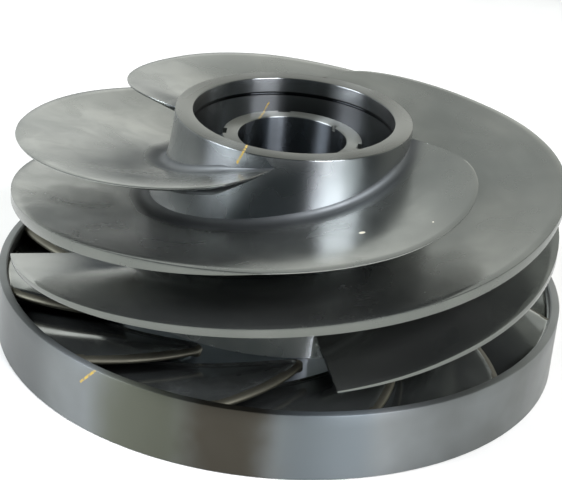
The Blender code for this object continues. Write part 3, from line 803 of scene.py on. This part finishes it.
# Studio floor: a wide sheet of matt paper, so the ring wall mirrors it evenly.
# It is pale round the wheel and painted a darker grey further off, as painted shade where the
# light falls off.
FLOOR_HALF = 5.0
SHADE_FROM = 0.55
SHADE_TO = 1.15
floor_mesh = bpy.data.meshes.new("paper_floor")
floor_mesh.from_pydata([(-FLOOR_HALF, -FLOOR_HALF, 0.0), (FLOOR_HALF, -FLOOR_HALF, 0.0),
                        (FLOOR_HALF, FLOOR_HALF, 0.0), (-FLOOR_HALF, FLOOR_HALF, 0.0)],
                       [], [(0, 1, 2, 3)])
floor = bpy.data.objects.new("paper_floor", floor_mesh)
bpy.context.scene.collection.objects.link(floor)
paper, paper_tree = blank("pale studio paper")
paper_place = add(paper_tree, "ShaderNodeTexCoord").outputs["Object"]
paper_tone = add(paper_tree, "ShaderNodeMix", {"data_type": "RGBA", 6: "#e6e4dd", 7: "#eae8e1"},
                 {0: patches(paper_tree, paper_place, 60.0)}).outputs[2]
from_wheel = add(paper_tree, "ShaderNodeVectorMath", {"operation": "LENGTH"}, {0: paper_place})
# painted shade: the paper darkens to grey away from the wheel
far_shade = add(paper_tree, "ShaderNodeMapRange",
              {"interpolation_type": "SMOOTHSTEP", "From Min": SHADE_FROM,
               "From Max": SHADE_TO}, {"Value": from_wheel.outputs["Value"]})
paper_tone = add(paper_tree, "ShaderNodeMix", {"data_type": "RGBA", 7: "#55585a"},
                 {0: far_shade, 6: paper_tone}).outputs[2]
paper_shader = add(paper_tree, "ShaderNodeBsdfPrincipled", {"Roughness": 0.9},
                   {"Base Color": paper_tone})
add(paper_tree, "ShaderNodeOutputMaterial", None, {"Surface": paper_shader})
floor_mesh.materials.append(paper)

# Studio light: two wide, high panels at the front give the bright upright reflections.
# The room is pale low down behind the wheel, half as bright overhead, and dim towards
# the camera.  Its limits are parts of a direction of length 1.
SIDE_WALLS = (-0.7, 0.7)
BACK_WALL = (-0.25, 0.35)
HORIZON = (0.00, 0.16)
OVERHEAD = (0.24, 0.60)
OVERHEAD_SHARE = 0.45
ROOM_GLOW = 1.60
PANEL_DISTANCE = 1.6
PANEL_LOW = 0.80
PANEL_HIGH = 1.80
PANEL_WIDTH = 0.95
world = bpy.data.worlds.new("studio room")
world.use_nodes = True
room = world.node_tree
room.nodes.clear()
toward = add(room, "ShaderNodeSeparateXYZ", None,
             {0: add(room, "ShaderNodeTexCoord").outputs["Generated"]})
side_tone = add(room, "ShaderNodeMapRange",
                {"From Min": SIDE_WALLS[0], "From Max": SIDE_WALLS[1]},
                {"Value": toward.outputs["X"]})
wall_tone = add(room, "ShaderNodeMix", {"data_type": "RGBA", 6: "#f2f6f6", 7: "#f8f7ef"},
                {0: side_tone}).outputs[2]
back_share = add(room, "ShaderNodeMapRange",
                 {"interpolation_type": "SMOOTHSTEP", "From Min": BACK_WALL[0],
                  "From Max": BACK_WALL[1]}, {"Value": toward.outputs["Y"]})
rise = add(room, "ShaderNodeMapRange",
           {"interpolation_type": "SMOOTHSTEP", "From Min": HORIZON[0],
            "From Max": HORIZON[1]}, {"Value": toward.outputs["Z"]})
overhead = add(room, "ShaderNodeMapRange",
               {"interpolation_type": "SMOOTHSTEP", "From Min": OVERHEAD[0],
                "From Max": OVERHEAD[1], "To Min": 1.0, "To Max": OVERHEAD_SHARE},
               {"Value": toward.outputs["Z"]})
lit = add(room, "ShaderNodeMath", {"operation": "MULTIPLY"}, {0: back_share, 1: rise})
lit = add(room, "ShaderNodeMath", {"operation": "MULTIPLY"}, {0: lit, 1: overhead})
room_tone = add(room, "ShaderNodeMix", {"data_type": "RGBA", 6: "#42484c"},
                {0: lit, 7: wall_tone}).outputs[2]
backdrop = add(room, "ShaderNodeBackground", {"Strength": ROOM_GLOW}, {"Color": room_tone})
add(room, "ShaderNodeOutputWorld", None, {"Surface": backdrop})
bpy.context.scene.world = world


def light_panel(name, heading, glow, tint):
    """Soft panel turned to the wheel from a heading in degrees, and as bright as glow."""
    a = math.radians(heading)
    tall = PANEL_HIGH - PANEL_LOW
    data = bpy.data.lights.new(name, "AREA")
    data.shape = "RECTANGLE"
    data.size, data.size_y = PANEL_WIDTH, tall
    data.energy = glow * math.pi * PANEL_WIDTH * tall
    data.color = srgb(tint)[:3]
    panel = bpy.data.objects.new(name, data)
    panel.location = (PANEL_DISTANCE * math.cos(a), PANEL_DISTANCE * math.sin(a),
                      PANEL_LOW + 0.5 * tall)
    panel.rotation_euler = (Vector((0.0, 0.0, RIM_Z)) - panel.location).to_track_quat(
        "-Z", "Y").to_euler()
    bpy.context.scene.collection.objects.link(panel)


light_panel("right_window", -51.0, 21.0, "#f4f6ff")
light_panel("left_window", -163.0, 18.0, "#eff4ff")

# Camera: a long lens from the front, 29 degrees above the floor and rolled a little.
# Its place and lens were fitted to the rim, the bore and the shroud ring.
CAMERA_PLACE = Vector((0.0, -0.7867, 0.4285))
CAMERA_AIM = Vector((-0.0011, 0.0, 0.0518))
CAMERA_ROLL = 5.07
LENS_MM = 104.44
SENSOR_MM = 36.0
lens = bpy.data.cameras.new("camera")
lens.lens = LENS_MM
lens.sensor_width = SENSOR_MM
camera = bpy.data.objects.new("camera", lens)
bpy.context.scene.collection.objects.link(camera)
camera.location = CAMERA_PLACE
camera.rotation_mode = "QUATERNION"
camera.rotation_quaternion = ((CAMERA_AIM - CAMERA_PLACE).to_track_quat("-Z", "Y")
                              @ Quaternion((0.0, 0.0, 1.0), math.radians(CAMERA_ROLL)))
bpy.context.scene.camera = camera
bpy.context.scene.view_settings.view_transform = "Standard"
